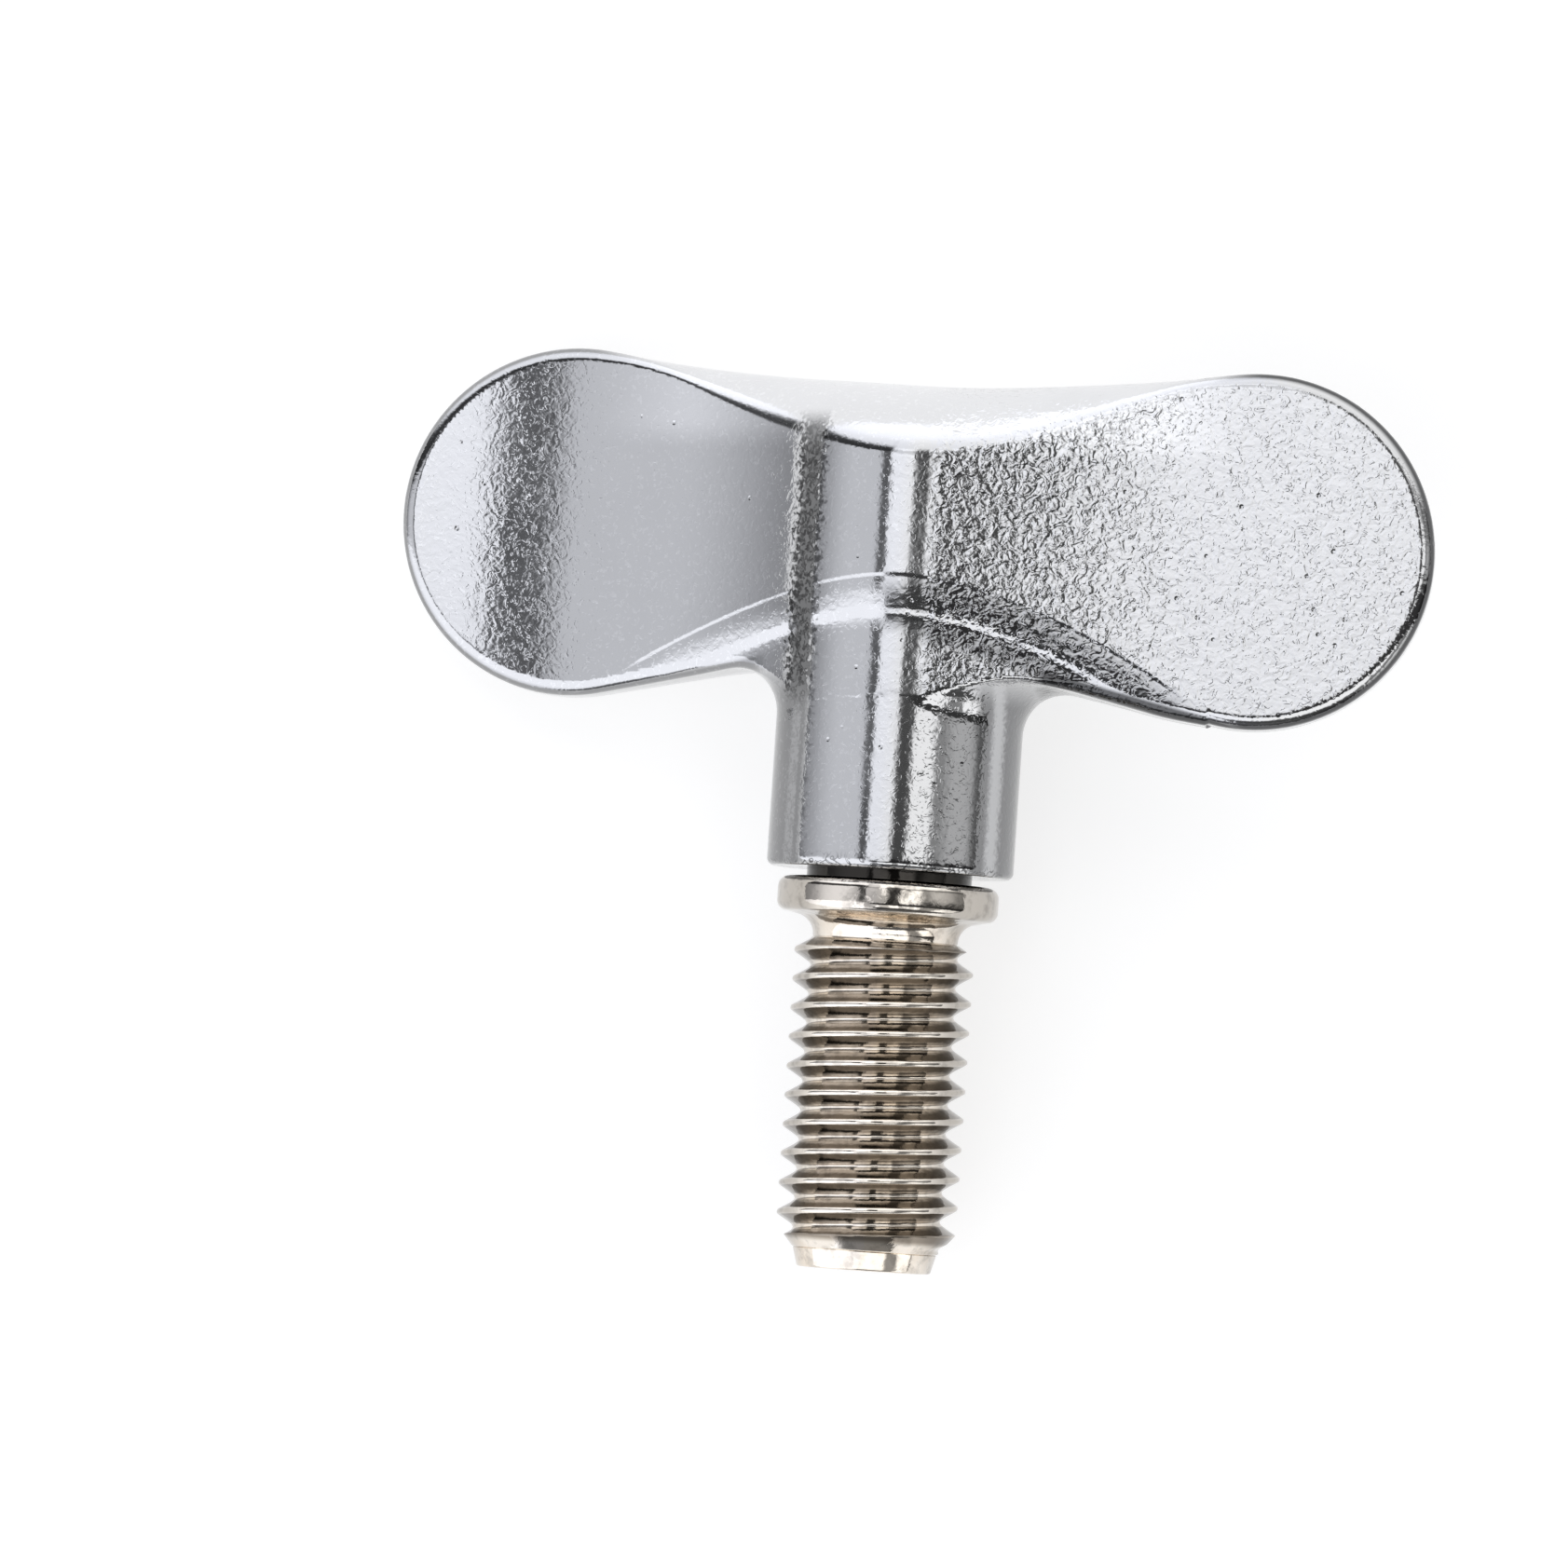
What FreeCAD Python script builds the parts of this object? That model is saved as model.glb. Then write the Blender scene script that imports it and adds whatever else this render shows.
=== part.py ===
# Wing screw: a die-cast wing head with an M8 steel stud cast into it, lying on its back.
# X runs along the wing span, Y along the screw axis towards the top of the head, Z up.
# The origin is on the screw axis, in the plane of the collar's seat.

import FreeCAD, Part
import Sketcher
import math
import os
from FreeCAD import Placement, Rotation, Vector

os.makedirs("parts", exist_ok=True)
doc = FreeCAD.newDocument("wing_screw")


# Driving sizes, millimetres and degrees

SIZES = [
    ("wing_span", 45.0, "tip to tip of the two wings"),
    ("lobe_radius", 7.55, "round end of each wing, seen from the front"),
    ("lobe_centre_height", 16.3, "centre of the round end above the seat"),
    ("crown_dip", 1.0, "how far the middle of the top edge lies below the lobes"),
    ("crown_drop", 3.0, "fall of the domed top from its ridge to the hub's face"),
    ("underside_slope", 12.5, "angle of the lower edge between lobe and hub"),
    ("underside_radius", 14.0, "arc that joins the two lower edges inside the hub"),
    ("flare_radius", 2.0, "fillet between the hub and the underside of the wings"),
    ("hub_radius", 5.3, "round hub below the wings"),
    ("hub_edge_radius", 0.3, "rounding of the hub's lower edge"),
    ("pad_step", 0.22, "how far the wing faces stand proud of the web and hub"),
    ("pad_step_length", 1.8, "height over which the step runs out"),
    ("pad_edge_height", 14.4, "the step's upper line at the screw axis, above the seat"),
    ("pad_edge_fall", 4.8, "how far that line falls to its outer end"),
    ("pad_edge_reach", 12.8, "distance of that outer end from the screw axis"),
    ("plate_outer", 4.92, "flat outer face of each wing, from the axis plane"),
    ("plate_thickness", 2.3, "wing thickness at its tip"),
    ("outer_blend_radius", 120.0, "shallow hollow from the flat face to the hub"),
    ("scoop_lead_radius", 34.0, "scooped face, outer stretch"),
    ("scoop_lead_margin", 1.0, "start of the scoop, inwards from the tip"),
    ("scoop_lead_length", 8.5, "length of the outer stretch along the span"),
    ("rim_radius", 0.6, "rounding of the edges between faces and rim"),
    ("collar_radius", 4.75, "collar of the stud"),
    ("collar_height", 1.5, "thickness of the collar"),
    ("collar_edge_radius", 0.45, "rounding of the collar's rim"),
    ("head_gap", 0.4, "gap between the collar and the hub"),
    ("neck_radius", 3.55, "plain shank above and below the collar"),
    ("neck_length", 0.5, "plain shank below the collar"),
    ("neck_fillet_radius", 0.38, "fillet between the plain shank and the seat"),
    ("neck_cone_length", 0.5, "cone from the plain shank to the thread root"),
    ("thread_radius", 3.875, "crest of the M8 thread"),
    ("thread_depth", 0.767, "crest to root"),
    ("thread_pitch", 1.25, "coarse pitch of M8"),
    ("thread_crest", 0.16, "flat on the crest"),
    ("thread_lead_in", 0.5, "length over which the thread rises from its root"),
    ("stud_length", 15.15, "seat to the end face of the stud"),
    ("tip_length", 0.8, "nearly straight end below the thread"),
    ("tip_chamfer_length", 0.95, "cone on which the thread runs out"),
    ("tip_radius", 2.9, "end face of the stud"),
    ("anchor_length", 8.0, "stud inside the head, above the collar"),
    ("anchor_groove_start", 1.6, "plain shank between the collar and the locking groove"),
    ("anchor_groove_width", 1.8, "locking groove, at the shank's surface"),
    ("anchor_groove_depth", 0.7, "depth of the locking groove"),
    ("anchor_flat_distance", 2.95, "flats against turning, from the axis"),
    ("anchor_flat_length", 3.4, "length of the flats, from the inner end"),
]

sheet = doc.addObject("Spreadsheet::Sheet", "sizes")
for row, (alias, value, note) in enumerate(SIZES, start=1):
    sheet.set("A%d" % row, note)
    sheet.set("B%d" % row, str(value))
    sheet.setAlias("B%d" % row, alias)
doc.recompute()


def size(alias):
    return float(sheet.get(alias))


# Plan of the wings, seen along the screw axis: half a turn maps one wing on the other.
# Points and centres are (x, z) of the right wing. An inset plan lies inside the full one.

PLAN_MARGIN = 2.0      # the plan runs this far past the tip, where the lobe's outline trims it


def plan(inset):
    """Arcs and tangent points of the right wing's plan, drawn in by the inset."""
    hub = size("hub_radius") + size("pad_step") - inset
    outer = size("plate_outer") - inset
    inner = size("plate_outer") - size("plate_thickness") + inset
    blend = size("outer_blend_radius") + inset
    lead = size("scoop_lead_radius") + inset
    blend_x = math.sqrt((blend + hub) ** 2 - (blend + outer) ** 2)
    blend_centre = (blend_x, outer + blend)
    share = hub / (blend + hub)
    hub_front = (blend_x * share, blend_centre[1] * share)
    lead_x = size("wing_span") / 2 - size("scoop_lead_margin")
    lead_centre = (lead_x, inner - lead)
    swing = math.asin(size("scoop_lead_length") / size("scoop_lead_radius"))
    across, along = math.sin(swing), math.cos(swing)
    lead_end = (lead_x - lead * across, lead_centre[1] + lead * along)
    reach = lead_end[0] * across - lead_end[1] * along
    root = (lead_end[0] ** 2 + lead_end[1] ** 2 - hub ** 2) / (2 * (hub - reach))
    root_centre = (lead_end[0] + root * across, lead_end[1] - root * along)
    share = hub / (root + hub)
    hub_back = (root_centre[0] * share, root_centre[1] * share)
    return {"hub": hub, "outer": outer, "inner": inner, "blend": blend, "lead": lead,
            "root": root, "blend_centre": blend_centre, "lead_centre": lead_centre,
            "root_centre": root_centre, "hub_front": hub_front, "hub_back": hub_back,
            "lead_end": lead_end, "lead_x": lead_x, "tip_x": size("wing_span") / 2 + PLAN_MARGIN}


full_plan = plan(0.0)


def outer_face(x):
    """Height z of the right wing's outer face, or of the hub, at x."""
    if x < full_plan["hub_front"][0]:
        return math.sqrt(full_plan["hub"] ** 2 - x ** 2)
    if x > full_plan["blend_centre"][0]:
        return full_plan["outer"]
    centre_x, centre_z = full_plan["blend_centre"]
    return centre_z - math.sqrt(full_plan["blend"] ** 2 - (x - centre_x) ** 2)


def inner_face(x):
    """Height z of the right wing's scooped face, or of the hub, at x."""
    if x < full_plan["hub_back"][0]:
        return -math.sqrt(full_plan["hub"] ** 2 - x ** 2)
    if x > full_plan["lead_x"]:
        return full_plan["inner"]
    stretch = "root" if x < full_plan["lead_end"][0] else "lead"
    centre_x, centre_z = full_plan[stretch + "_centre"]
    return centre_z + math.sqrt(full_plan[stretch] ** 2 - (x - centre_x) ** 2)


def middle(x):
    """Height z of the wing's middle at x, on either side of the axis."""
    value = (outer_face(abs(x)) + inner_face(abs(x))) / 2
    return value if x > 0 else -value


def half_thickness(x):
    return (outer_face(abs(x)) - inner_face(abs(x))) / 2


def plan_sketch(name, inset, inset_expression):
    """Closed plan of both wings and the hub, in the plane across the screw axis."""
    sketch = doc.addObject("Sketcher::SketchObject", name)
    sketch.Placement = Placement(Vector(0, 0, 0), Rotation(Vector(1, 0, 0), 90))
    shape = plan(inset)

    def arc(centre, radius, first, second, side):
        """Arc from first to second, counter-clockwise about the centre."""
        angles = [math.atan2(side * (spot[1] - centre[1]), side * (spot[0] - centre[0]))
                  for spot in (first, second)]
        circle = Part.Circle(Vector(side * centre[0], side * centre[1], 0),
                             Vector(0, 0, 1), radius)
        return sketch.addGeometry(Part.ArcOfCircle(circle, *angles))

    def line(first, second, side):
        ends = [Vector(side * spot[0], side * spot[1], 0) for spot in (first, second)]
        return sketch.addGeometry(Part.LineSegment(*ends))

    def tie(kind, *arguments):
        return sketch.addConstraint(Sketcher.Constraint(kind, *arguments))

    def dimension(label, expression, kind, *arguments):
        sketch.renameConstraint(tie(kind, *arguments), label)
        sketch.setExpression("Constraints." + label, expression)

    blend_end = (shape["blend_centre"][0], shape["outer"])
    lead_start = (shape["lead_x"], shape["inner"])
    outer_tip = (shape["tip_x"], shape["outer"])
    inner_tip = (shape["tip_x"], shape["inner"])
    opposite = (-shape["hub_front"][0], -shape["hub_front"][1])
    right, left = [{
        "blend": arc(shape["blend_centre"], shape["blend"], shape["hub_front"], blend_end, side),
        "outer": line(blend_end, outer_tip, side),
        "tip": line(outer_tip, inner_tip, side),
        "inner": line(inner_tip, lead_start, side),
        "lead": arc(shape["lead_centre"], shape["lead"], lead_start, shape["lead_end"], side),
        "root": arc(shape["root_centre"], shape["root"], shape["lead_end"],
                    shape["hub_back"], side),
        "hub": arc((0, 0), shape["hub"], opposite, shape["hub_back"], side),
    } for side in (1, -1)]
    start, end, centre, origin = 1, 2, 3, (-1, 1)
    for one, other in ((right, left), (left, right)):
        tie("Tangent", one["blend"], end, one["outer"], start)
        tie("Coincident", one["outer"], end, one["tip"], start)
        tie("Coincident", one["tip"], end, one["inner"], start)
        tie("Tangent", one["inner"], end, one["lead"], start)
        tie("Tangent", one["lead"], end, one["root"], start)
        tie("Tangent", one["root"], end, one["hub"], end)
        tie("Tangent", one["hub"], start, other["blend"], start)
        tie("Coincident", one["hub"], centre, *origin)
        tie("Horizontal", one["outer"])
        tie("Horizontal", one["inner"])
        tie("Vertical", one["tip"])
    for label, one in (("right", right), ("left", left)):
        def from_axis(element, position):
            """Point pair for a distance that counts outwards on this wing."""
            pair = (origin, (element, position)) if one is right else ((element, position), origin)
            return pair[0] + pair[1]

        inset_text = {"inset": inset_expression}
        dimension(label + "_blend", "sizes.outer_blend_radius + %(inset)s" % inset_text,
                  "Radius", one["blend"], shape["blend"])
        dimension(label + "_lead", "sizes.scoop_lead_radius + %(inset)s" % inset_text,
                  "Radius", one["lead"], shape["lead"])
        dimension(label + "_hub", "sizes.hub_radius + sizes.pad_step - %(inset)s" % inset_text,
                  "Radius", one["hub"], shape["hub"])
        dimension(label + "_thickness", "sizes.plate_thickness - 2 * %(inset)s" % inset_text,
                  "Distance", one["tip"], shape["outer"] - shape["inner"])
        dimension(label + "_outer", "sizes.plate_outer - %(inset)s" % inset_text,
                  "DistanceY", *from_axis(one["outer"], end), shape["outer"])
        dimension(label + "_tip", "sizes.wing_span / 2 + %g" % PLAN_MARGIN,
                  "DistanceX", *from_axis(one["tip"], start), shape["tip_x"])
        dimension(label + "_lead_start", "sizes.wing_span / 2 - sizes.scoop_lead_margin",
                  "DistanceX", *from_axis(one["lead"], start), shape["lead_x"])
        dimension(label + "_lead_end",
                  "sizes.wing_span / 2 - sizes.scoop_lead_margin - sizes.scoop_lead_length"
                  " * (sizes.scoop_lead_radius + %(inset)s) / sizes.scoop_lead_radius"
                  % inset_text,
                  "DistanceX", *from_axis(one["lead"], end), shape["lead_end"][0])
    return sketch


# Front outline of the head: lobe circles, the hollow top edge and the sloping lower edge

lobe_x = size("wing_span") / 2 - size("lobe_radius")
lobe_y = size("lobe_centre_height")
lobe_radius = size("lobe_radius")
crown_y = lobe_y + lobe_radius - size("crown_dip")
crown_radius = ((lobe_x ** 2 + (lobe_radius - size("crown_dip")) ** 2 - lobe_radius ** 2)
                / (2 * size("crown_dip")))
crown_end_x = lobe_x * crown_radius / (crown_radius + lobe_radius)
slope = math.radians(size("underside_slope"))
under_end_x = lobe_x - lobe_radius * math.sin(slope)
under_end_y = lobe_y - lobe_radius * math.cos(slope)
hub_bottom = size("collar_height") + size("head_gap")
TOP_MARGIN = 2.5       # cutting tools and prisms run this far past the head


def crown_ridge(x):
    return crown_y + crown_radius - math.sqrt(crown_radius ** 2 - x ** 2)


def under_edge(x):
    return under_end_y + (under_end_x - abs(x)) * math.tan(slope)


def fade(x, end_x):
    """One at the axis, zero with no slope at the end."""
    return max(0.0, 1 - (x / end_x) ** 2) ** 2


def crown_section(x):
    """Ridge height, fall at the faces and middle of the domed top at x."""
    return crown_ridge(x), size("crown_drop") * fade(x, crown_end_x)


PAD_EDGE_POWER = 1.75  # the pad's edge line falls from its middle by this power of x


def pad_section(x):
    """Lower limit of the full-thickness wing: it leaves the faces at the pad's edge line."""
    edge = size("pad_edge_height") - size("pad_edge_fall") * (
        (abs(x) / size("pad_edge_reach")) ** PAD_EDGE_POWER)
    depth = size("pad_step_length") * half_thickness(x) / (2 * size("pad_step"))
    return edge - depth, -depth


SECTION_MARGIN = 1.0   # each section of a tool is this much wider than the wing


def dome_tool(name, stations, section, closing_y):
    """Solid between a surface of parabolas across the wing and a closing plane."""
    wires = []
    for x in stations:
        ridge, fall = section(x)
        half, centre = half_thickness(x), middle(x)
        reach = half + SECTION_MARGIN
        edge_y = ridge - fall * (reach / half) ** 2
        left = Vector(x, edge_y, centre - reach)
        right = Vector(x, edge_y, centre + reach)
        apex = Vector(x, 2 * ridge - edge_y, centre)
        curve = Part.BezierCurve()
        curve.setPoles([left, apex, right])
        far_left = Vector(x, closing_y, left.z)
        far_right = Vector(x, closing_y, right.z)
        wires.append(Part.Wire([curve.toShape(), Part.makeLine(right, far_right),
                                Part.makeLine(far_right, far_left),
                                Part.makeLine(far_left, left)]))
    tool = doc.addObject("Part::Feature", name)
    tool.Shape = Part.makeLoft(wires, True, False)
    return tool


# Small helpers for drawing with texts such as "collar_height + head_gap" as sizes

ORIGIN = (-1, 1)       # the sketch's origin, as a geometry and a position


def words(text):
    return [word if word in "+-*/()" or word[0].isdigit() else "sizes." + word
            for word in text.split()]


def total(text):
    """Value of a sum of sizes."""
    value, sign = 0.0, 1
    for word in text.split():
        if word in "+-":
            sign = 1 if word == "+" else -1
        else:
            value += sign * (float(word) if word[0].isdigit() else size(word))
    return value


def locate(sketch, geometry, position, axis, text):
    """Fixes one coordinate of a point by a sum of sizes."""
    value = total(text)
    if abs(value) < 1e-9:
        tie = Sketcher.Constraint("PointOnObject", geometry, position, -2 if axis == "X" else -1)
        sketch.addConstraint(tie)
        return
    ends = (*ORIGIN, geometry, position) if value > 0 else (geometry, position, *ORIGIN)
    index = sketch.addConstraint(Sketcher.Constraint("Distance" + axis, *ends, abs(value)))
    formula = " ".join(words(text))
    label = "%s_%d_%d" % (axis.lower(), geometry, position)
    sketch.renameConstraint(index, label)
    sketch.setExpression("Constraints." + label, formula if value > 0 else "-(%s)" % formula)


def polygon(sketch, corners):
    """Closed polygon; each corner is a pair of sums of sizes."""
    spots = [Vector(total(across), total(up), 0) for across, up in corners]
    first = sketch.GeometryCount
    for here, there in zip(spots, spots[1:] + spots[:1]):
        sketch.addGeometry(Part.LineSegment(here, there))
    for number, (across, up) in enumerate(corners):
        following = first + (number + 1) % len(corners)
        sketch.addConstraint(Sketcher.Constraint("Coincident", first + number, 2, following, 1))
        locate(sketch, first + number, 1, "X", across)
        locate(sketch, first + number, 1, "Y", up)


def extrusion(name, base, direction, forward, backward=0.0):
    solid = doc.addObject("Part::Extrusion", name)
    solid.Base = base
    solid.DirMode = "Custom"
    solid.Dir = Vector(*direction)
    solid.LengthFwd = forward
    solid.LengthRev = backward
    solid.Solid = True
    return solid


def combine(kind, name, base, tool):
    result = doc.addObject("Part::" + kind, name)
    result.Base = base
    result.Tool = tool
    return result


def plan_prism(name, inset, inset_expression, bottom, top):
    sketch = plan_sketch(name + "_plan", inset, inset_expression)
    sketch.Placement = Placement(Vector(0, bottom, 0), Rotation(Vector(1, 0, 0), 90))
    return extrusion(name, sketch, (0, 1, 0), top - bottom)


# Front outline of the wings: the lobes, and a shallow round roof as the lower edge

def front_outline(name, top):
    sketch = doc.addObject("Sketcher::SketchObject", name)
    end_y = crown_ridge(crown_end_x)
    roof_y = under_edge(0)
    turn = Vector(0, 0, 1)

    def add(shape):
        return sketch.addGeometry(shape)

    def tie(*arguments):
        return sketch.addConstraint(Sketcher.Constraint(*arguments))

    circle = Part.Circle(Vector(lobe_x, lobe_y, 0), turn, lobe_radius)
    upper = math.atan2(end_y - lobe_y, crown_end_x - lobe_x)
    lower = -math.pi / 2 - slope
    right_arc = add(Part.ArcOfCircle(circle, lower, upper))
    circle = Part.Circle(Vector(-lobe_x, lobe_y, 0), turn, lobe_radius)
    left_arc = add(Part.ArcOfCircle(circle, math.pi - upper, 3 * math.pi / 2 + slope))
    right_wall = add(Part.LineSegment(Vector(crown_end_x, end_y, 0), Vector(crown_end_x, top, 0)))
    left_wall = add(Part.LineSegment(Vector(-crown_end_x, end_y, 0), Vector(-crown_end_x, top, 0)))
    lid = add(Part.LineSegment(Vector(-crown_end_x, top, 0), Vector(crown_end_x, top, 0)))
    roof = size("underside_radius")
    circle = Part.Circle(Vector(0, roof_y - roof / math.cos(slope), 0), turn, roof)
    roof_arc = add(Part.ArcOfCircle(circle, math.pi / 2 - slope, math.pi / 2 + slope))
    joint = Vector(roof * math.sin(slope), under_edge(roof * math.sin(slope)), 0)
    right_edge = add(Part.LineSegment(joint, Vector(under_end_x, under_end_y, 0)))
    joint = Vector(-joint.x, joint.y, 0)
    left_edge = add(Part.LineSegment(joint, Vector(-under_end_x, under_end_y, 0)))
    tie("Coincident", right_wall, 1, right_arc, 2)
    tie("Coincident", left_wall, 1, left_arc, 1)
    tie("Coincident", right_wall, 2, lid, 2)
    tie("Coincident", left_wall, 2, lid, 1)
    tie("Tangent", right_edge, 2, right_arc, 1)
    tie("Tangent", left_edge, 2, left_arc, 2)
    tie("Tangent", right_edge, 1, roof_arc, 1)
    tie("Tangent", left_edge, 1, roof_arc, 2)
    tie("Vertical", right_wall)
    tie("Vertical", left_wall)
    tie("Horizontal", lid)

    def dimension(label, formula, kind, *arguments):
        sketch.renameConstraint(tie(kind, *arguments), label)
        sketch.setExpression("Constraints." + label, formula)

    across = "(sizes.wing_span / 2 - sizes.lobe_radius)"
    crown = ("((%s ^ 2 + (sizes.lobe_radius - sizes.crown_dip) ^ 2 - sizes.lobe_radius ^ 2)"
             " / (2 * sizes.crown_dip))" % across)
    wall = "%s * %s / (%s + sizes.lobe_radius)" % (across, crown, crown)
    dimension("right_radius", "sizes.lobe_radius", "Radius", right_arc, lobe_radius)
    dimension("left_radius", "sizes.lobe_radius", "Radius", left_arc, lobe_radius)
    dimension("right_x", across, "DistanceX", *ORIGIN, right_arc, 3, lobe_x)
    dimension("left_x", across, "DistanceX", left_arc, 3, *ORIGIN, lobe_x)
    dimension("right_y", "sizes.lobe_centre_height", "DistanceY", *ORIGIN, right_arc, 3, lobe_y)
    dimension("left_y", "sizes.lobe_centre_height", "DistanceY", *ORIGIN, left_arc, 3, lobe_y)
    dimension("right_wall_x", wall, "DistanceX", *ORIGIN, right_wall, 1, crown_end_x)
    dimension("left_wall_x", wall, "DistanceX", left_wall, 1, *ORIGIN, crown_end_x)
    dimension("lid_y", "%g" % top, "DistanceY", *ORIGIN, lid, 1, top)
    dimension("roof_radius", "sizes.underside_radius", "Radius", roof_arc, roof)
    tie("PointOnObject", roof_arc, 3, -2)
    dimension("roof_centre", "sizes.underside_radius / cos(sizes.underside_slope * 1deg)"
              " - (sizes.lobe_centre_height + %s * tan(sizes.underside_slope * 1deg)"
              " - sizes.lobe_radius / cos(sizes.underside_slope * 1deg))" % across,
              "DistanceY", roof_arc, 3, *ORIGIN, roof / math.cos(slope) - roof_y)
    return sketch


PRISM_BOTTOM, PRISM_TOP = 4.0, 27.0

full_prism = plan_prism("full_prism", 0.0, "0", PRISM_BOTTOM, PRISM_TOP)
web_prism = plan_prism("web_prism", size("pad_step"), "sizes.pad_step", -24.0, PRISM_TOP)
outline_prism = extrusion("outline_prism", front_outline("front_outline", PRISM_TOP),
                          (0, 0, 1), 8.0, 8.0)
crown_stations = [side * share * crown_end_x for side in (-1, 1)
                  for share in (1.0, 0.86, 0.72, 0.54, 0.36, 0.18)]
crown_tool = dome_tool("crown_tool", sorted(crown_stations + [0.0]), crown_section,
                       PRISM_TOP + 1)
pad_stations = sorted([side * x for side in (-1, 1) for x in (2.5, 5, 7.5, 10, 12, 14)] + [0.0])
pad_tool = dome_tool("pad_tool", pad_stations, pad_section, -20.0)
wing_outline = combine("Common", "wing_outline", full_prism, outline_prism)
wing_crowned = combine("Cut", "wing_crowned", wing_outline, crown_tool)
doc.recompute()


def on_faces(edge):
    """True for an edge between a wing's broad face and its rim."""
    if isinstance(edge.Curve, Part.Line) and abs(edge.Curve.Direction.y) > 0.999:
        return False
    spot = edge.valueAt((edge.FirstParameter + edge.LastParameter) / 2)
    return abs(abs(spot.z - middle(spot.x)) - half_thickness(spot.x)) < 0.02


wing_rounded = doc.addObject("Part::Fillet", "wing_rounded")
wing_rounded.Base = wing_crowned
wing_rounded.Edges = [(number, size("rim_radius"), size("rim_radius"))
                      for number, edge in enumerate(wing_crowned.Shape.Edges, start=1)
                      if on_faces(edge)]
doc.recompute()

# The wing faces stand proud: below the pad's edge line the wing is cut back to the web plan

step_tool = combine("Cut", "step_tool", pad_tool, web_prism)
wing_stepped = combine("Cut", "wing_stepped", wing_rounded, step_tool)


# Round hub below the wings, and the flare that joins it to them

HUB_TOP = 15.5         # inside the full wing, so that no end face shows

hub_cylinder = doc.addObject("Part::Cylinder", "hub_cylinder")
hub_cylinder.Placement = Placement(Vector(0, hub_bottom, 0), Rotation(Vector(1, 0, 0), -90))
hub_cylinder.setExpression("Radius", "sizes.hub_radius")
hub_cylinder.setExpression("Placement.Base.y", "sizes.collar_height + sizes.head_gap")
hub_cylinder.setExpression("Height", "%g - sizes.collar_height - sizes.head_gap" % HUB_TOP)
doc.recompute()
hub_rounded = doc.addObject("Part::Fillet", "hub_rounded")
hub_rounded.Base = hub_cylinder
hub_rounded.Edges = [(number, size("hub_edge_radius"), size("hub_edge_radius"))
                     for number, edge in enumerate(hub_cylinder.Shape.Edges, start=1)
                     if edge.isClosed() and edge.CenterOfMass.y < HUB_TOP - 1]

FLARE_DEPTH = 0.8      # how far the flare's profile reaches into the hub
FLARE_MARGIN = 1.5     # and how far up into the web
FLARE_INSET = 0.25     # the flare's sides lie this far inside the web's, within its rounded rim


def flare_profile():
    """Section of the flare beside the axis: it hangs below the web and meets the hub."""
    sketch = doc.addObject("Sketcher::SketchObject", "flare_profile")
    radius = size("flare_radius")
    centre = Vector(size("hub_radius") + radius, 0, 0)
    centre.y = under_edge(centre.x) - radius / math.cos(slope)
    top = centre + Vector(radius * math.sin(slope), radius * math.cos(slope), 0)
    hub = Vector(size("hub_radius"), centre.y, 0)
    roof = top.y + FLARE_MARGIN
    inside = hub.x - FLARE_DEPTH
    corners = [hub, Vector(inside, hub.y, 0), Vector(inside, roof, 0), Vector(top.x, roof, 0), top]
    circle = Part.Circle(centre, Vector(0, 0, 1), radius)
    sketch.addGeometry(Part.ArcOfCircle(circle, math.pi / 2 - slope, math.pi))
    for here, there in zip(corners, corners[1:]):
        sketch.addGeometry(Part.LineSegment(here, there))
    sketch.addConstraint([
        Sketcher.Constraint("Coincident", 0, 2, 1, 1),
        Sketcher.Constraint("Coincident", 1, 2, 2, 1),
        Sketcher.Constraint("Coincident", 2, 2, 3, 1),
        Sketcher.Constraint("Coincident", 3, 2, 4, 1),
        Sketcher.Constraint("Coincident", 4, 2, 0, 1),
        Sketcher.Constraint("Horizontal", 1),
        Sketcher.Constraint("Vertical", 2),
        Sketcher.Constraint("Horizontal", 3),
        Sketcher.Constraint("Vertical", 4),
        Sketcher.Constraint("Horizontal", 0, 2, 0, 3)])
    across = "(sizes.wing_span / 2 - sizes.lobe_radius)"
    edge = ("(sizes.lobe_centre_height - sizes.lobe_radius / cos(sizes.underside_slope * 1deg)"
            " + (%s - %%s) * tan(sizes.underside_slope * 1deg))" % across)
    middle_x = "(sizes.hub_radius + sizes.flare_radius)"
    middle_y = (edge % middle_x) + " - sizes.flare_radius / cos(sizes.underside_slope * 1deg)"
    for label, formula, kind, arguments in (
            ("radius", "sizes.flare_radius", "Radius", (0, radius)),
            ("centre_x", middle_x, "DistanceX", (*ORIGIN, 0, 3, centre.x)),
            ("centre_y", middle_y, "DistanceY", (*ORIGIN, 0, 3, centre.y)),
            ("top_x", middle_x + " + sizes.flare_radius * sin(sizes.underside_slope * 1deg)",
             "DistanceX", (*ORIGIN, 0, 1, top.x)),
            ("inside_x", "sizes.hub_radius - %g" % FLARE_DEPTH, "DistanceX",
             (*ORIGIN, 1, 2, inside)),
            ("roof_y", middle_y + " + sizes.flare_radius * cos(sizes.underside_slope * 1deg)"
             " + %g" % FLARE_MARGIN, "DistanceY", (*ORIGIN, 2, 2, roof))):
        sketch.renameConstraint(sketch.addConstraint(Sketcher.Constraint(kind, *arguments)), label)
        sketch.setExpression("Constraints." + label, formula)
    return sketch


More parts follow.
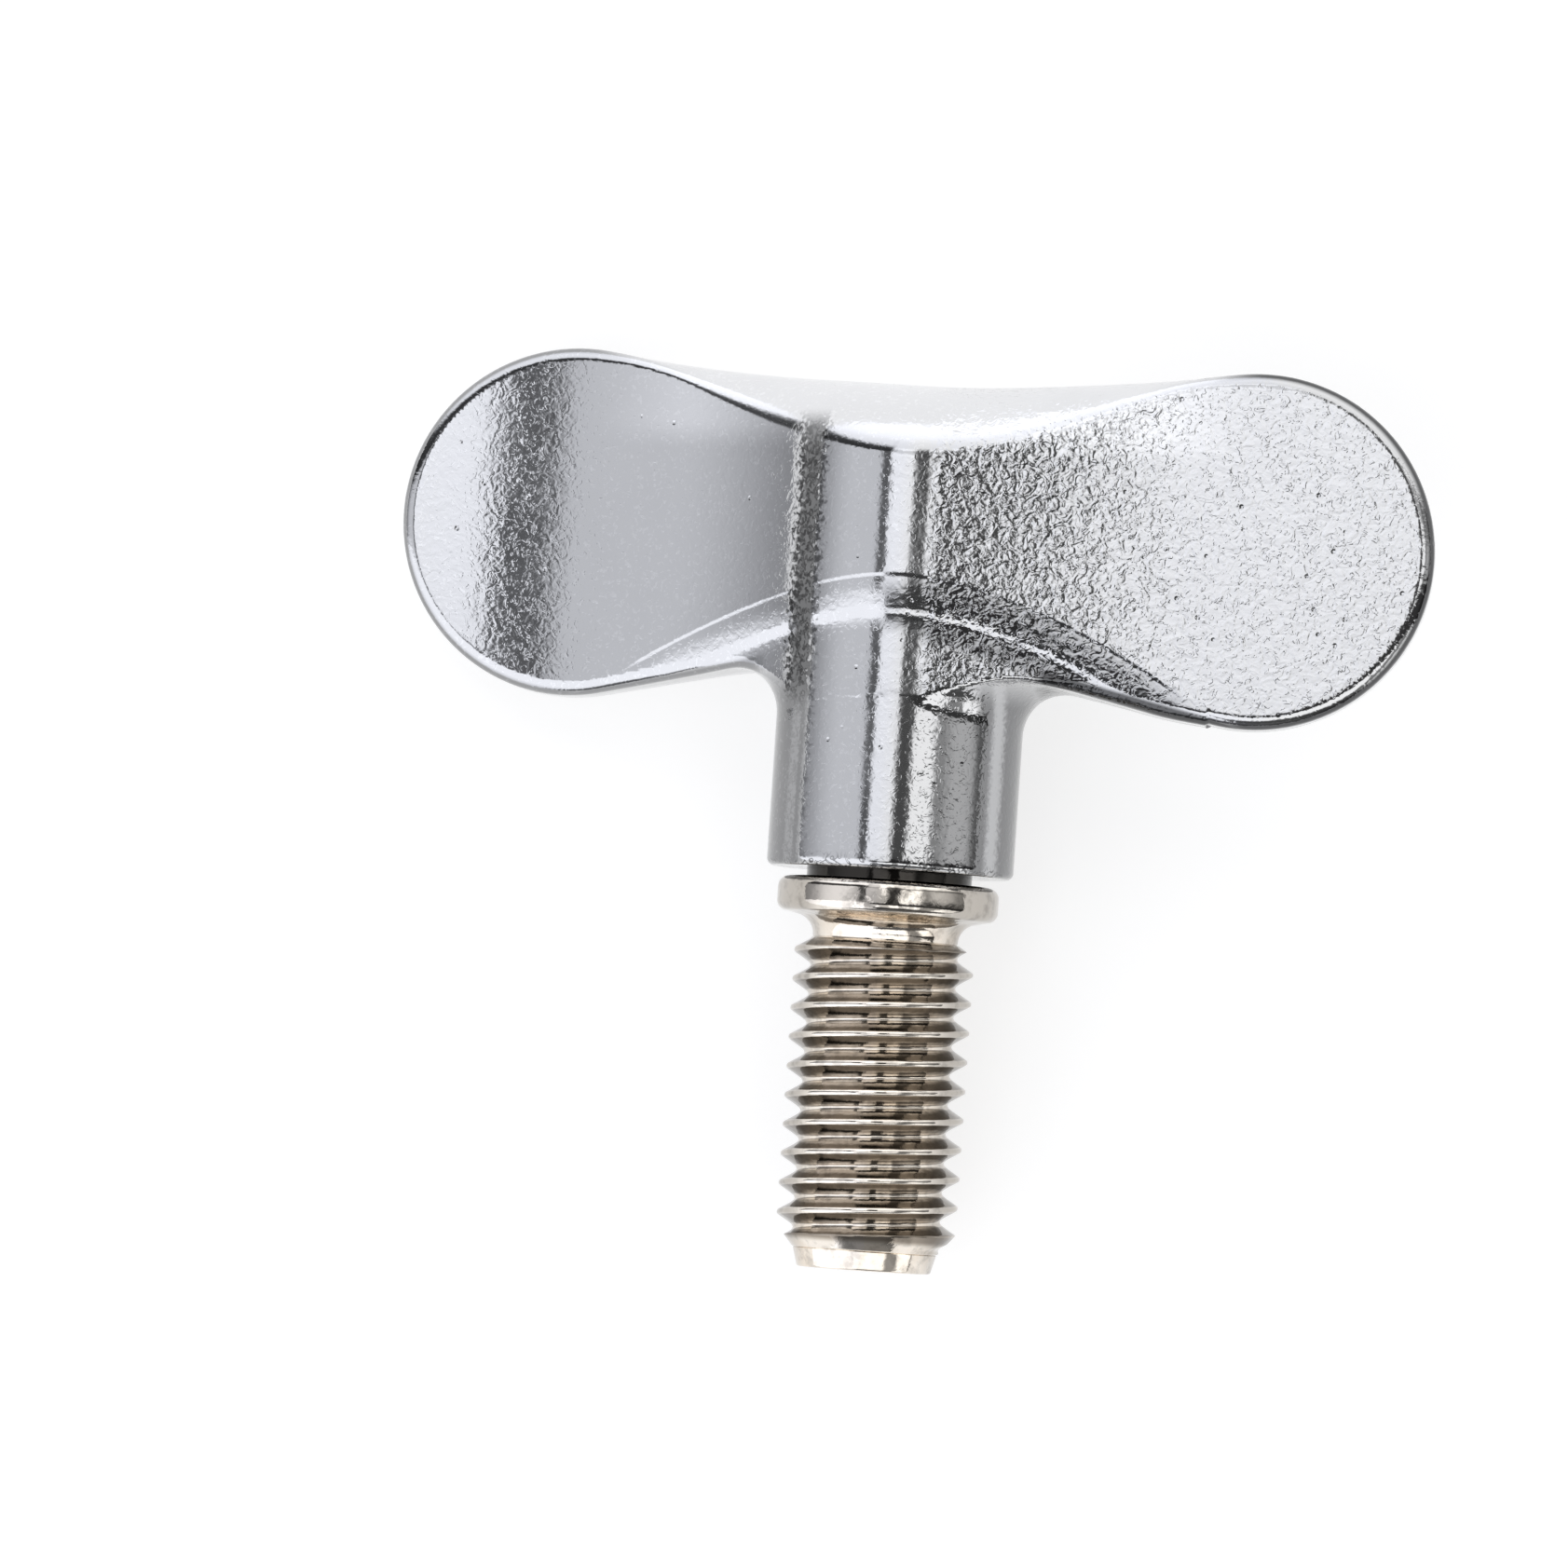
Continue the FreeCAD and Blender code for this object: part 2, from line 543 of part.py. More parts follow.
flare_ring = doc.addObject("Part::Revolution", "flare_ring")
flare_ring.Source = flare_profile()
flare_ring.Axis = Vector(0, 1, 0)
flare_ring.Angle = 360
flare_ring.Solid = True
flare_prism = plan_prism("flare_prism", size("pad_step") + FLARE_INSET,
                         "(sizes.pad_step + %g)" % FLARE_INSET, PRISM_BOTTOM, PRISM_TOP)
flare = combine("Common", "flare", flare_ring, flare_prism)
head_blank = doc.addObject("Part::MultiFuse", "head_blank")
head_blank.Shapes = [wing_stepped, hub_rounded, flare]
head_blank.Refine = True
doc.recompute()


# Turned stud: collar, neck, M8 thread with a tapered end, and the anchor inside the head

stud = doc.addObject("PartDesign::Body", "threaded_stud")


def body_sketch(name):
    """Sketch in the body's own XY plane."""
    plane = [item for item in stud.Origin.OriginFeatures if item.Role == "XY_Plane"][0]
    sketch = stud.newObject("Sketcher::SketchObject", name)
    sketch.AttachmentSupport = [(plane, "")]
    sketch.MapMode = "FlatFace"
    return sketch


thread_root = "thread_radius - thread_depth"
blank = body_sketch("blank_profile")
polygon(blank, [
    ("0", "0 - stud_length"),
    ("tip_radius", "0 - stud_length"),
    ("tip_radius + 0.18", "tip_length - stud_length"),
    ("thread_radius", "tip_length + tip_chamfer_length - stud_length"),
    ("thread_radius", "0 - neck_length - neck_cone_length - thread_lead_in"),
    (thread_root, "0 - neck_length - neck_cone_length"),
    ("neck_radius", "0 - neck_length"),
    ("neck_radius", "collar_height + anchor_groove_start"),
    ("neck_radius - anchor_groove_depth",
     "collar_height + anchor_groove_start + anchor_groove_depth"),
    ("neck_radius - anchor_groove_depth",
     "collar_height + anchor_groove_start + anchor_groove_width - anchor_groove_depth"),
    ("neck_radius", "collar_height + anchor_groove_start + anchor_groove_width"),
    ("neck_radius", "collar_height + anchor_length - 0.4"),
    ("neck_radius - 0.4", "collar_height + anchor_length"),
    ("0", "collar_height + anchor_length")])
doc.recompute()
turned = stud.newObject("PartDesign::Revolution", "blank")
turned.Profile = blank
turned.ReferenceAxis = (blank, ["V_Axis"])
turned.Angle = 360
doc.recompute()


# Thread: a 60 degree groove that runs out past the tapered end and fades out at the neck

GROOVE_MARGIN = 0.15   # the groove's profile stands this far outside the crest
GROOVE_END = 1.15      # middle of the groove at its upper end, below the seat
GROOVE_TURNS = 12.4

flank = math.tan(math.radians(30))
groove = body_sketch("groove_profile")
root_half = (size("thread_pitch") - size("thread_crest")) / 2 - size("thread_depth") * flank
crest_half = root_half + (size("thread_depth") + GROOVE_MARGIN) * flank
groove_y = -GROOVE_END - GROOVE_TURNS * size("thread_pitch")
inner_x = size("thread_radius") - size("thread_depth")
outer_x = size("thread_radius") + GROOVE_MARGIN
spots = [Vector(inner_x, groove_y - root_half, 0), Vector(outer_x, groove_y - crest_half, 0),
         Vector(outer_x, groove_y + crest_half, 0), Vector(inner_x, groove_y + root_half, 0)]
for here, there in zip(spots, spots[1:] + spots[:1]):
    groove.addGeometry(Part.LineSegment(here, there))
for number in range(4):
    groove.addConstraint(Sketcher.Constraint("Coincident", number, 2, (number + 1) % 4, 1))
groove.addConstraint([Sketcher.Constraint("Vertical", 1), Sketcher.Constraint("Vertical", 3)])
root_formula = ("((sizes.thread_pitch - sizes.thread_crest) / 2"
                " - sizes.thread_depth * tan(30deg))")
crest_formula = "(%s + (sizes.thread_depth + %g) * tan(30deg))" % (root_formula, GROOVE_MARGIN)
start_formula = "(%g + %g * sizes.thread_pitch)" % (GROOVE_END, GROOVE_TURNS)
for label, formula, kind, arguments in (
        ("root_x", "sizes.thread_radius - sizes.thread_depth", "DistanceX",
         (*ORIGIN, 0, 1, inner_x)),
        ("crest_x", "sizes.thread_radius + %g" % GROOVE_MARGIN, "DistanceX",
         (*ORIGIN, 0, 2, outer_x)),
        ("root_low", start_formula + " + " + root_formula, "DistanceY",
         (0, 1, *ORIGIN, root_half - groove_y)),
        ("crest_low", start_formula + " + " + crest_formula, "DistanceY",
         (0, 2, *ORIGIN, crest_half - groove_y)),
        ("crest_high", start_formula + " - " + crest_formula, "DistanceY",
         (1, 2, *ORIGIN, -crest_half - groove_y)),
        ("root_high", start_formula + " - " + root_formula, "DistanceY",
         (2, 2, *ORIGIN, -root_half - groove_y))):
    groove.renameConstraint(groove.addConstraint(Sketcher.Constraint(kind, *arguments)), label)
    groove.setExpression("Constraints." + label, formula)
doc.recompute()
thread = stud.newObject("PartDesign::SubtractiveHelix", "thread")
thread.Profile = groove
thread.ReferenceAxis = (groove, ["V_Axis"])
thread.Mode = 0
thread.setExpression("Pitch", "sizes.thread_pitch")
thread.setExpression("Height", "%g * sizes.thread_pitch" % GROOVE_TURNS)
doc.recompute()


# Two flats at the anchor's inner end keep the stud from turning in the casting

for name, side in (("front_flat", 1), ("back_flat", -1)):
    sketch = body_sketch(name + "_profile")
    sketch.AttachmentOffset = Placement(Vector(0, 0, side * size("anchor_flat_distance")),
                                        Rotation())
    sketch.setExpression("AttachmentOffset.Base.z", "%d * sizes.anchor_flat_distance" % side)
    polygon(sketch, [
        ("0 - thread_radius", "collar_height + anchor_length - anchor_flat_length"),
        ("thread_radius", "collar_height + anchor_length - anchor_flat_length"),
        ("thread_radius", "collar_height + anchor_length + 1"),
        ("0 - thread_radius", "collar_height + anchor_length + 1")])
    doc.recompute()
    flat = stud.newObject("PartDesign::Pocket", name)
    flat.Profile = sketch
    flat.Length = 5
    flat.Reversed = side > 0
    doc.recompute()


# The collar is turned from the same bar: its rim is rounded above and below

collar_profile = body_sketch("collar_profile")
polygon(collar_profile, [
    ("0", "0"), ("collar_radius", "0"), ("collar_radius", "collar_height"),
    ("0", "collar_height")])
doc.recompute()
collar = stud.newObject("PartDesign::Revolution", "collar")
collar.Profile = collar_profile
collar.ReferenceAxis = (collar_profile, ["V_Axis"])
collar.Angle = 360
doc.recompute()
rim = ["Edge%d" % number for number, edge in enumerate(collar.Shape.Edges, start=1)
       if isinstance(edge.Curve, Part.Circle)
       and abs(edge.Curve.Radius - size("collar_radius")) < 1e-4]
collar_round = stud.newObject("PartDesign::Fillet", "collar_round")
collar_round.Base = (collar, rim)
collar_round.setExpression("Radius", "sizes.collar_edge_radius")
doc.recompute()
corner = ["Edge%d" % number for number, edge in enumerate(collar_round.Shape.Edges, start=1)
          if isinstance(edge.Curve, Part.Circle) and abs(edge.CenterOfMass.y) < 1e-4
          and abs(edge.Curve.Radius - size("neck_radius")) < 1e-4]
seat_fillet = stud.newObject("PartDesign::Fillet", "seat_fillet")
seat_fillet.Base = (collar_round, corner)
seat_fillet.setExpression("Radius", "sizes.neck_fillet_radius")
stud.Tip = seat_fillet
doc.recompute()


# The casting closes round the anchor exactly

wing_head = combine("Cut", "wing_head", head_blank, stud)
doc.recompute()

for item in doc.Objects:
    if "Invalid" in item.State or "Error" in item.State:
        raise ValueError("%s did not build" % item.Name)
for item in (wing_head, stud):
    shape = item.Shape
    if shape.isNull() or not shape.isValid() or len(shape.Solids) != 1:
        raise ValueError("%s is not one valid solid" % item.Name)
    shape.exportStep("parts/%s.step" % item.Name)
    print(item.Name, "volume %.1f mm3, %d faces" % (shape.Volume, len(shape.Faces)))
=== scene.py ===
import math

import bpy
import numpy as np
import openvdb
from mathutils import Matrix, Vector


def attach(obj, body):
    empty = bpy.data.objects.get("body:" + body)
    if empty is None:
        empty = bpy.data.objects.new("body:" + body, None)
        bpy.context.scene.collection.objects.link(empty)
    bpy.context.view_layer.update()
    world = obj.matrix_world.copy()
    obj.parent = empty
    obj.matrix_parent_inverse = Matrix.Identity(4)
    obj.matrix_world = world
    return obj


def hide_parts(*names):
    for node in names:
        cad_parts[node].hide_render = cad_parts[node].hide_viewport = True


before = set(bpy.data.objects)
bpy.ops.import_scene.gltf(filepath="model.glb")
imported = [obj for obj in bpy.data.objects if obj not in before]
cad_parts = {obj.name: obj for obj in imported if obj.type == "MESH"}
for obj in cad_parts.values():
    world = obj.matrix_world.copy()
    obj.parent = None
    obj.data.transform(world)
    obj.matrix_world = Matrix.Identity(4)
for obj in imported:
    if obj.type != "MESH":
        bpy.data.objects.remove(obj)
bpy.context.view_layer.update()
MM = 0.001
scene = bpy.context.scene
scene.view_settings.view_transform = "Standard"


# The head: two swept wings on a round hub, die-cast in one piece and chrome plated.
# Its shape is a function of position, below zero inside and zero on the surface, with the
# sizes of the solid and the small roundings that a casting has.

SPAN = 45.0                         # tip to tip of the wings
LOBE, LOBE_Y = 7.55, 16.3           # round end of each wing: radius, height of its centre
DIP, DROP = 1.0, 3.0                # crown: dip of its middle, fall from its ridge to the faces
OVAL = 0.72                         # share of a full circle in the crown's section
SLOPE = math.radians(12.5)          # lower edge of the wings
SAG, SAG_LENGTH = 0.75, 8.0         # how the lower edge hangs beside the hub, and how far out
RIGHT_SAG, SAG_RISE, SAG_END = 0.28, 4, 11          # further sag on the right, and its reach
HUB, STEP = 5.3, 0.22               # hub radius, and how far the wing faces stand proud of it
EDGE_Y, EDGE_FALL = 14.4, 4.8       # line where the faces begin to fall: height, fall outwards
EDGE_REACH, EDGE_POWER = 12.8, 1.75
FALLS = ((0.165, 0.0, 2.7), (0.045, 1.35, 0.5))     # depth, start and length of each fall
OUTER, THICK = 4.92, 2.3            # flat outer face off the axis, and the wing's thickness
BLEND = 120.0                       # hollow from the flat face to the hub
LEAD, LEAD_LENGTH, LEAD_MARGIN = 34.0, 8.5, 1.0     # outer stretch of the scooped face
RIM, CROWN_RIM, LOWER_RIM = 0.6, 0.22, 0.06         # edges at the lobe, crown and lower edge
CROWN_RIM_END, LOWER_RIM_END, RIM_CHANGE = 10, 4, 5 # where they begin to widen, and how fast
FLARE, HUB_BOTTOM, HUB_EDGE = 2.1, 1.9, 0.3
WEB_BOTTOM, HUB_TOP = 5.0, 17.0     # both lie inside the head
MIDDLE_Y = 15.0                     # the crown's edges lie above it, the lower ones below
CELL = 0.165                 # of the grid that the surface is read from
NUDGE, NORMAL_NUDGE = 1e-3, 0.02    # shifts that slopes and the mesh's normals are taken over
ROUNDS, LEAST_SLOPE = 4, 0.2        # how often, and how carefully, points move to the surface
HEAD_LOW, HEAD_HIGH = (-23.1, 1.1, -6.1), (23.1, 24.5, 6.1)

wide = HUB + STEP
inner = OUTER - THICK
blend_x = math.sqrt((BLEND + wide) ** 2 - (BLEND + OUTER) ** 2)
front_x = blend_x * wide / (BLEND + wide)
lead_x = SPAN / 2 - LEAD_MARGIN
swing = math.asin(LEAD_LENGTH / LEAD)
end_x, end_z = lead_x - LEAD_LENGTH, inner - LEAD + LEAD * math.cos(swing)
reach = end_x * math.sin(swing) - end_z * math.cos(swing)
root = (end_x ** 2 + end_z ** 2 - wide ** 2) / (2 * (wide - reach))
root_x, root_z = end_x + root * math.sin(swing), end_z - root * math.cos(swing)
back_x = root_x * wide / (root + wide)
lobe_x = SPAN / 2 - LOBE
crown_y = LOBE_Y + LOBE - DIP
crown_radius = (lobe_x ** 2 + (LOBE - DIP) ** 2 - LOBE ** 2) / (2 * DIP)
crown_end = lobe_x * crown_radius / (crown_radius + LOBE)
under_x, under_y = lobe_x - LOBE * math.sin(SLOPE), LOBE_Y - LOBE * math.cos(SLOPE)


def root_of(value):
    return np.sqrt(np.maximum(value, 0.0))


def upper_face(x):
    """Height of the face that looks up, over the whole span."""
    a = np.abs(x)
    hub = root_of(wide ** 2 - x ** 2)
    hollow = root_of(BLEND ** 2 - (np.minimum(a, blend_x) - blend_x) ** 2)
    flat_side = np.where(a < front_x, hub, OUTER + BLEND - hollow)
    scoop = inner - LEAD + root_of(LEAD ** 2 - (np.minimum(a, lead_x) - lead_x) ** 2)
    near_hub = root_z + root_of(root ** 2 - (a - root_x) ** 2)
    scooped_side = np.where(a < back_x, hub, -np.where(a > end_x, scoop, near_hub))
    return np.where(x >= 0, flat_side, scooped_side)


def below_edge(a, y):
    """How far a point lies below the line where the faces begin to fall."""
    return EDGE_Y - EDGE_FALL * (a / EDGE_REACH) ** EDGE_POWER - y


def lower_edge(a):
    """Height of the straight lower edge of the wings."""
    return under_y + (under_x - a) * math.tan(SLOPE)


def ease(value):
    """Smooth rise from zero to one."""
    value = np.clip(value, 0, 1)
    return value * value * (3 - 2 * value)


def both(a, b, radius):
    """Where two shapes overlap, with a round outer edge."""
    corner = np.hypot(np.maximum(radius + a, 0), np.maximum(radius + b, 0))
    return np.minimum(np.maximum(a, b), -radius) + corner


def either(a, b, radius):
    """Two shapes joined by a round inner corner."""
    corner = np.hypot(np.maximum(radius - a, 0), np.maximum(radius - b, 0))
    return np.maximum(np.minimum(a, b), radius) - corner


def wing_faces(x, y, z, top, bottom):
    """Between the two broad faces, less what they fall towards the stud."""
    top_slope = (upper_face(x + NUDGE) - upper_face(x - NUDGE)) / (2 * NUDGE)
    bottom_slope = (upper_face(NUDGE - x) - upper_face(-NUDGE - x)) / (2 * NUDGE)
    below = below_edge(np.abs(x), y)
    step = sum(depth * ease((below - start) / length) for depth, start, length in FALLS)
    return np.maximum((z - top) / np.sqrt(1 + top_slope ** 2),
                      (bottom - z) / np.sqrt(1 + bottom_slope ** 2)) + step


def wing_crown(x, y, z, top, bottom, circle):
    """Under the dished and domed top edge, which runs into the lobes' round ends."""
    a = np.abs(x)
    half = (top - bottom) / 2
    across = np.abs(z - (top + bottom) / 2) / half
    arc = np.sqrt(1 - OVAL * np.minimum(across, 1) ** 2)
    full_fall = 1 - math.sqrt(1 - OVAL)
    steepness = OVAL * np.minimum(across, 1) / arc
    fall = (1 - arc + np.clip(across - 1, 0, 0.3) * steepness) / full_fall
    fade = DROP * np.maximum(0, 1 - (a / crown_end) ** 2) ** 2
    centre = crown_y + crown_radius
    crown = crown_radius - np.hypot(x, y + fade * fall - centre)
    crown = crown / np.sqrt(1 + (fade * (steepness / full_fall) / half) ** 2)
    return np.where(lobe_x * (y - centre) - (LOBE_Y - centre) * a < 0, crown, circle)


def head(points):
    x, y, z = points[..., 0], points[..., 1], points[..., 2]
    a = np.abs(x)
    radial = np.hypot(x, z) - HUB
    top, bottom = upper_face(x), -upper_face(-x)
    circle = np.hypot(a - lobe_x, y - LOBE_Y) - LOBE
    sag = SAG * (1 - ease(a / SAG_LENGTH))
    sag = sag + RIGHT_SAG * ease(x / SAG_RISE) * (1 - ease((a - SAG_END) / SAG_RISE))
    under = (lower_edge(a) - sag - y) * math.cos(SLOPE)
    inward = -(a - lobe_x) * math.cos(SLOPE) + (y - LOBE_Y) * math.sin(SLOPE)
    under = either(np.where(inward > 0, under, circle), radial, FLARE)
    near_hub = 1 - ease((a - np.where(y > MIDDLE_Y, CROWN_RIM_END, LOWER_RIM_END)) / RIM_CHANGE)
    rim = RIM - (RIM - np.where(y > MIDDLE_Y, CROWN_RIM, LOWER_RIM)) * near_hub
    outline = np.maximum(wing_crown(x, y, z, top, bottom, circle), under)
    wings = np.maximum(both(wing_faces(x, y, z, top, bottom), outline, rim), WEB_BOTTOM - y)
    hub = np.maximum(both(radial, HUB_BOTTOM - y, HUB_EDGE), y - HUB_TOP)
    return np.minimum(wings, hub)


def gradient(shape, points, nudge):
    slopes = []
    for axis in range(3):
        shift = np.zeros(3)
        shift[axis] = nudge
        slopes.append((shape(points + shift) - shape(points - shift)) / (2 * nudge))
    return np.stack(slopes, axis=-1)


def skin(name, shape, low, high, cell):
    """Closed mesh on the zero surface of a shape, with the surface's own normals."""
    steps = [np.arange(start, end, cell) for start, end in zip(low, high)]
    field = np.stack(np.meshgrid(*steps, indexing="ij"), axis=-1)
    grid = openvdb.FloatGrid(background=1.0)
    grid.copyFromArray(np.clip(shape(field), -1, 1).astype(np.float32))
    points, triangles, quads = grid.convertToPolygons(isovalue=0.0, adaptivity=0.0)
    points = np.asarray(points, dtype=float) * cell + np.array(low)
    for _ in range(ROUNDS):
        slope = gradient(shape, points, NUDGE)
        move = shape(points) / np.maximum((slope ** 2).sum(axis=1), LEAST_SLOPE)
        points -= slope * np.clip(move, -cell, cell)[:, None]
    faces = [list(face) for face in quads] + [list(face) for face in triangles]
    mesh = bpy.data.meshes.new(name)
    mesh.from_pydata((points * MM).tolist(), [], faces)
    slope = gradient(shape, points, NORMAL_NUDGE)
    slope /= np.linalg.norm(slope, axis=1)[:, None]
    first = mesh.polygons[0]
    if Vector(slope[first.vertices[0]]).dot(first.normal) < 0:
        mesh.flip_normals()
    mesh.shade_smooth()
    mesh.normals_split_custom_set_from_vertices(slope.tolist())
    piece = bpy.data.objects.new(name, mesh)
    scene.collection.objects.link(piece)
    return piece


class Socket:
    """A node's output that can be used in formulas."""

    def __init__(self, tree, socket):
        self.tree, self.socket = tree, socket

    def _math(self, operation, *terms):
        node = self.tree.nodes.new("ShaderNodeMath")
        node.operation = operation
        for number, term in enumerate(terms):
            if isinstance(term, Socket):
                self.tree.links.new(term.socket, node.inputs[number])
            else:
                node.inputs[number].default_value = term
        return Socket(self.tree, node.outputs[0])

    def __add__(self, other): return self._math("ADD", self, other)
    def __radd__(self, other): return self._math("ADD", other, self)
    def __sub__(self, other): return self._math("SUBTRACT", self, other)
    def __rsub__(self, other): return self._math("SUBTRACT", other, self)
    def __mul__(self, other): return self._math("MULTIPLY", self, other)
    def __rmul__(self, other): return self._math("MULTIPLY", other, self)
    def __truediv__(self, other): return self._math("DIVIDE", self, other)
    def __pow__(self, other): return self._math("POWER", self, other)
    def __abs__(self): return self._math("ABSOLUTE", self)
    def low(self, other): return self._math("MINIMUM", self, other)
    def high(self, other): return self._math("MAXIMUM", self, other)
    def round_low(self, other, size): return self._rounded(other, size, -1)
    def round_high(self, other, size): return self._rounded(other, size, 1)
    def fraction(self): return self._math("FRACT", self)
    def sign(self): return self._math("SIGN", self)
    def less(self, other): return self._math("LESS_THAN", self, other)
    def sine(self): return self._math("SINE", self)
    def cosine(self): return self._math("COSINE", self)
    def angle(self, other): return self._math("ARCTAN2", self, other)

    def _rounded(self, other, size, side):
        """The lower or higher of two values, with a rounded change from one to the other."""
        apart = self - other
        return (self + other + (apart * apart + size * size) ** 0.5 * side) * 0.5

    def step(self, start, end):
        """Zero before the start, one after the end, smooth between."""
        node = self.tree.nodes.new("ShaderNodeMapRange")
        node.interpolation_type = "SMOOTHSTEP"
        self.tree.links.new(self.socket, node.inputs["Value"])
        node.inputs["From Min"].default_value = start
        node.inputs["From Max"].default_value = end
        return Socket(self.tree, node.outputs["Result"])

    def band(self, start, end, edge):
        """One between start and end, with soft edges."""
        return self.step(start - edge / 2, start + edge / 2) * (
            1 - self.step(end - edge / 2, end + edge / 2))


class Tree:
    """A node tree whose nodes are made by one call each."""

    def __init__(self, tree):
        self.tree = tree

    def node(self, kind, output=0, settings=None, **inputs):
        made = self.tree.nodes.new(kind)
        for name, value in (settings or {}).items():
            setattr(made, name, value)
        for name, value in inputs.items():
            socket = made.inputs[name.replace("_", " ")]
            if isinstance(value, Socket):
                self.tree.links.new(value.socket, socket)
            else:
                socket.default_value = value
        return Socket(self.tree, made.outputs[output])

    def outputs(self, socket, *names):
        """Further outputs of the node that a socket belongs to."""
        node = socket.socket.node
        return [Socket(self.tree, node.outputs[name]) for name in names]


def material(name, paint):
    made = bpy.data.materials.new(name)
    made.use_nodes = True
    tree = Tree(made.node_tree)
    shader = made.node_tree.nodes["Principled BSDF"]
    for socket, value in paint(tree).items():
        target = shader.inputs[socket.replace("_", " ")]
        if isinstance(value, Socket):
            made.node_tree.links.new(value.socket, target)
        else:
            target.default_value = value
    return made


def noise(tree, place, scale, detail=2.0, roughness=0.5, distortion=0.0):
    return tree.node("ShaderNodeTexNoise", "Fac", Vector=place, Scale=scale, Detail=detail,
                     Roughness=roughness, Distortion=distortion)


def millimetres(tree, place):
    """The three coordinates of a place on the piece, in millimetres."""
    x = tree.node("ShaderNodeSeparateXYZ", "X", Vector=place)
    y, z = tree.outputs(x, "Y", "Z")
    return x * 1000, y * 1000, z * 1000


def colour(tree, red, green, blue):
    return tree.node("ShaderNodeCombineColor", "Color", Red=red, Green=green, Blue=blue)


# The crown highlight is painted light and the dark tone is painted shade on the chrome
CHROME_TONE, CROWN_HIGHLIGHT, DASH_TONE, DARK_TONE = 0.57, 0.18, 0.07, 0.50
CHROME_RELIEF = 1.7e-5              # metres for one unit of the relief
PITS = 1100.0                       # scale of the small pits
# Scale, detail, roughness and distortion of the noises
PEEL, GRAIN = (2100, 1.5, 0.5, 1.1), (4600, 1.0, 0.5, 0.6)
SCRATCH, PATCHES = (2600, 1.0, 0.4, 1.2), (260, 2.0)


def chrome(tree):
    """Chrome with the fine relief of a plated casting, painted shade in its creases and rims,
    and a painted highlight on its crown.
    """
    place = tree.node("ShaderNodeTexCoord", "Object")
    x, y, z = millimetres(tree, place)
    a = abs(x)
    peel, grain = noise(tree, place, *PEEL), noise(tree, place, *GRAIN)
    scratch, patches = noise(tree, place, *SCRATCH), noise(tree, place, *PATCHES)
    right_half = x.step(0, 3)
    # The right wing is rough beside the hub and smoother outwards, the left one has a rough band
    rough = x.step(0.9, 1.6) * (1 - 0.76 * x.step(2.5, 14.0)) * (0.25 + 0.75 * y.step(8, 10))
    rough = rough.high(0.24 * x.band(-18.7, -15.7, 2.4))
    dashes = (1 - abs(scratch - 0.5) * 12).high(0.0) * grain.step(0.50, 0.62)
    relief = (peel * (0.36 + 1.9 * rough) + grain * (0.10 + 0.30 * rough)
              + dashes * (0.08 + 0.32 * rough))
    pits = tree.node("ShaderNodeTexVoronoi", "Distance", Vector=place, Scale=PITS)
    relief = relief - 0.8 * (1 - pits.step(0.03, 0.14)) * patches.step(0.50, 0.6)
    # The fine line where the faces begin to fall towards the stud
    below = below_edge(a, y)
    relief = relief - 1.1 * below.step(-0.10, 0.16) * (1 - a.step(11.0, 13.0))
    normal = tree.node("ShaderNodeBump", "Normal", Strength=1.0, Distance=CHROME_RELIEF,
                       Height=relief)
    # Painted shade in the crease to the left of the hub
    ragged = (grain - 0.5) * 3.0
    crease_shade = (x + ragged * 0.4).band(-4.75, -3.6, 0.4) * (1 - y.step(20.5, 21.5))
    crease_shade = crease_shade * z.step(0.5, 1.5) * (0.82 + 0.22 * grain.step(0.42, 0.58))
    crease_shade = crease_shade * (0.6 + 0.4 * y.step(8.0, 10.0))
    # Painted shade down the hub's flanks, with a painted highlight streak in each
    highlight_streak = (x + ragged * 0.1).band(-4.3, -4.0, 0.2) + (x + ragged * 0.1).band(4.25, 4.7, 0.3)
    shaded_flank = ((a + ragged * 0.1).step(3.5, 3.8) * (1 - 0.7 * highlight_streak) * (1 - y.step(9.0, 10.5))
             * (1 - a.step(6, 8)))
    # Painted shade along the lower edge and round the lobes, though not on the middle of the
    # wing's wall
    lobe_edge = ((a - lobe_x) ** 2 + (y - LOBE_Y) ** 2) ** 0.5
    off_wall = abs(z * x.sign() - (OUTER - THICK / 2))
    rim = (1 - (y - lower_edge(a)).step(0.12, 0.34)) * a.step(5.5, 6.5)
    rim = rim.high(lobe_edge.step(LOBE - 0.34, LOBE - 0.12) * a.step(12.5, 15.0))
    rim = rim * (0.25 + 0.75 * off_wall.step(0.3, 0.8))
    # Painted shade at the hub's foot, and in the hollows above and below the falling edge on the
    # right
    foot = (1 - y.step(HUB_BOTTOM + 0.05, 2.6)) * scratch.band(0.40, 0.50, 0.04)
    hollow = below.band(0.1, 1.25, 0.4) * 0.35 + below.band(1.85, 2.8, 0.6) * 0.45
    hollow = hollow * (1 - 0.6 * a.step(6.0, 12.0))
    # All the painted shade together, which the dark tone takes off the chrome's tone
    dark = crease_shade.high(hollow * x.step(0.8, 1.4) * (1 - a.step(12.5, 14.0)))
    dark = dark.high(shaded_flank * 0.68).high(rim * (0.55 + 0.4 * right_half)).high(foot * 0.9)
    # Painted highlight: the crown, which faces the light above, is made lighter
    crown = y.step(19.5, 21.0) * (1 - a.step(9, 15))
    tone = (CHROME_TONE + CROWN_HIGHLIGHT * crown + DASH_TONE * dashes * (1 - right_half)
            - DARK_TONE * dark)
    tone = tone * (0.96 + 0.08 * patches)
    roughness = 0.06 + 0.05 * patches.step(0.35, 0.75) + 0.06 * crown
    return {"Base_Color": colour(tree, tone, tone * 1.005, tone * 1.02), "Metallic": 1.0,
            "Roughness": roughness, "Normal": normal}


def dress(piece, finish):
    piece.data.materials.clear()
    piece.data.materials.append(finish)


